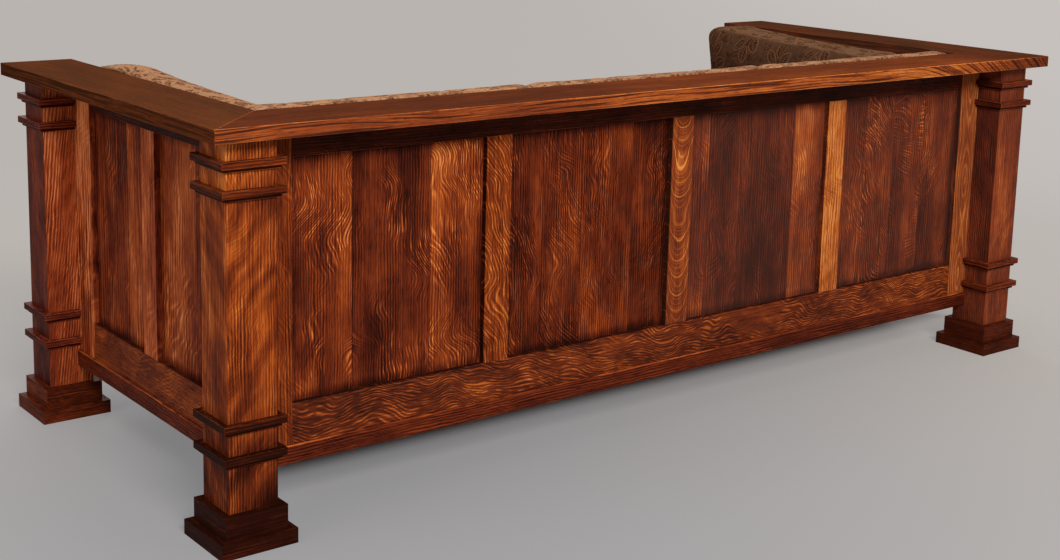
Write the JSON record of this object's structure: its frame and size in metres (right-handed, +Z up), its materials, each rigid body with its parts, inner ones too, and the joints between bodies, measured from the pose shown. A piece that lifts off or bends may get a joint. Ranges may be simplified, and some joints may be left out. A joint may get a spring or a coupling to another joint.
{
  "type": "settle",
  "caption": "Long settle in quartersawn oak: square posts on stepped plinths, panelled back and ends, wide flat mitred cap, slatted deck and loose patterned cushions.",
  "frame": {"origin": "on the floor, under the middle of the cap", "axes": "+Z up; X along the settle; the panelled back faces +Y and the seat opens towards -Y; +X is to the right for someone looking at the front"},
  "size_m": [2.19, 0.95, 0.725],
  "materials": {
    "cushion_fabric": "woven upholstery cloth, tan leaf and scroll pattern on dark brown",
    "screw_steel": "plain steel",
    "cap_oak": "quartersawn oak, dull brown stain",
    "plinth_oak": "oak, near-black brown stain",
    "post_oak": "quartersawn oak, orange-brown stain, satin",
    "panel_oak": "quartersawn oak boards, red-brown stain, satin",
    "deck_oak": "plain oak, unstained",
    "frame_oak": "quartersawn oak, orange-brown stain, satin"
  },
  "bodies": {
    "settle_frame": {"back_bottom_rail": "frame_oak", "back_foot_strip": "frame_oak", "back_mullion_1": "frame_oak", "back_mullion_2": "frame_oak", "back_mullion_3": "frame_oak", "back_panel_1": "panel_oak", "back_panel_2": "panel_oak", "back_panel_3": "panel_oak", "back_panel_4": "panel_oak", "back_stile_left": "frame_oak", "back_stile_right": "frame_oak", "back_top_rail": "frame_oak", "cap_arm_left": "cap_oak", "cap_arm_right": "cap_oak", "cap_back": "cap_oak", "cap_mitre_keys": "cap_oak", "deck_bearer": "deck_oak", "deck_cleats": "deck_oak", "deck_screws": "screw_steel", "deck_slats": "deck_oak", "end_left_bottom_rail": "frame_oak", "end_left_foot_strip": "frame_oak", "end_left_mullion": "frame_oak", "end_left_panel_1": "panel_oak", "end_left_panel_2": "panel_oak", "end_left_stile_back": "frame_oak", "end_left_stile_front": "frame_oak", "end_left_top_rail": "frame_oak", "end_right_bottom_rail": "frame_oak", "end_right_foot_strip": "frame_oak", "end_right_mullion": "frame_oak", "end_right_panel_1": "panel_oak", "end_right_panel_2": "panel_oak", "end_right_stile_back": "frame_oak", "end_right_stile_front": "frame_oak", "end_right_top_rail": "frame_oak", "front_foot_strip": "frame_oak", "front_seat_rail": "frame_oak", "plinth_back_left": "plinth_oak", "plinth_back_right": "plinth_oak", "plinth_front_left": "plinth_oak", "plinth_front_right": "plinth_oak", "post_back_left": "post_oak", "post_back_right": "post_oak", "post_bands_back_left": "post_oak", "post_bands_back_right": "post_oak", "post_bands_front_left": "post_oak", "post_bands_front_right": "post_oak", "post_front_left": "post_oak", "post_front_right": "post_oak"},
    "seat_left": {"seat_cushion_left": "cushion_fabric"},
    "back_left": {"back_cushion_left": "cushion_fabric"},
    "seat_middle": {"seat_cushion_middle": "cushion_fabric"},
    "back_middle": {"back_cushion_middle": "cushion_fabric"},
    "seat_right": {"seat_cushion_right": "cushion_fabric"},
    "back_right": {"back_cushion_right": "cushion_fabric"},
    "arm_left": {"arm_cushion_left": "cushion_fabric"},
    "arm_right": {"arm_cushion_right": "cushion_fabric"}
  },
  "joints": [
    {"name": "seat_left_lift", "type": "slide", "parent": "settle_frame", "child": "seat_left", "axis": [0, 0, 1], "range_m": [0, 0.2]},
    {"name": "back_left_lift", "type": "slide", "parent": "seat_left", "child": "back_left", "axis": [0, 0, 1], "range_m": [0, 0.35]},
    {"name": "seat_middle_lift", "type": "slide", "parent": "settle_frame", "child": "seat_middle", "axis": [0, 0, 1], "range_m": [0, 0.2]},
    {"name": "back_middle_lift", "type": "slide", "parent": "seat_middle", "child": "back_middle", "axis": [0, 0, 1], "range_m": [0, 0.35]},
    {"name": "seat_right_lift", "type": "slide", "parent": "settle_frame", "child": "seat_right", "axis": [0, 0, 1], "range_m": [0, 0.2]},
    {"name": "back_right_lift", "type": "slide", "parent": "seat_right", "child": "back_right", "axis": [0, 0, 1], "range_m": [0, 0.35]},
    {"name": "arm_left_lift", "type": "slide", "parent": "seat_left", "child": "arm_left", "axis": [0, 0, 1], "range_m": [0, 0.35]},
    {"name": "arm_right_lift", "type": "slide", "parent": "seat_right", "child": "arm_right", "axis": [0, 0, 1], "range_m": [0, 0.35]}
  ]
}
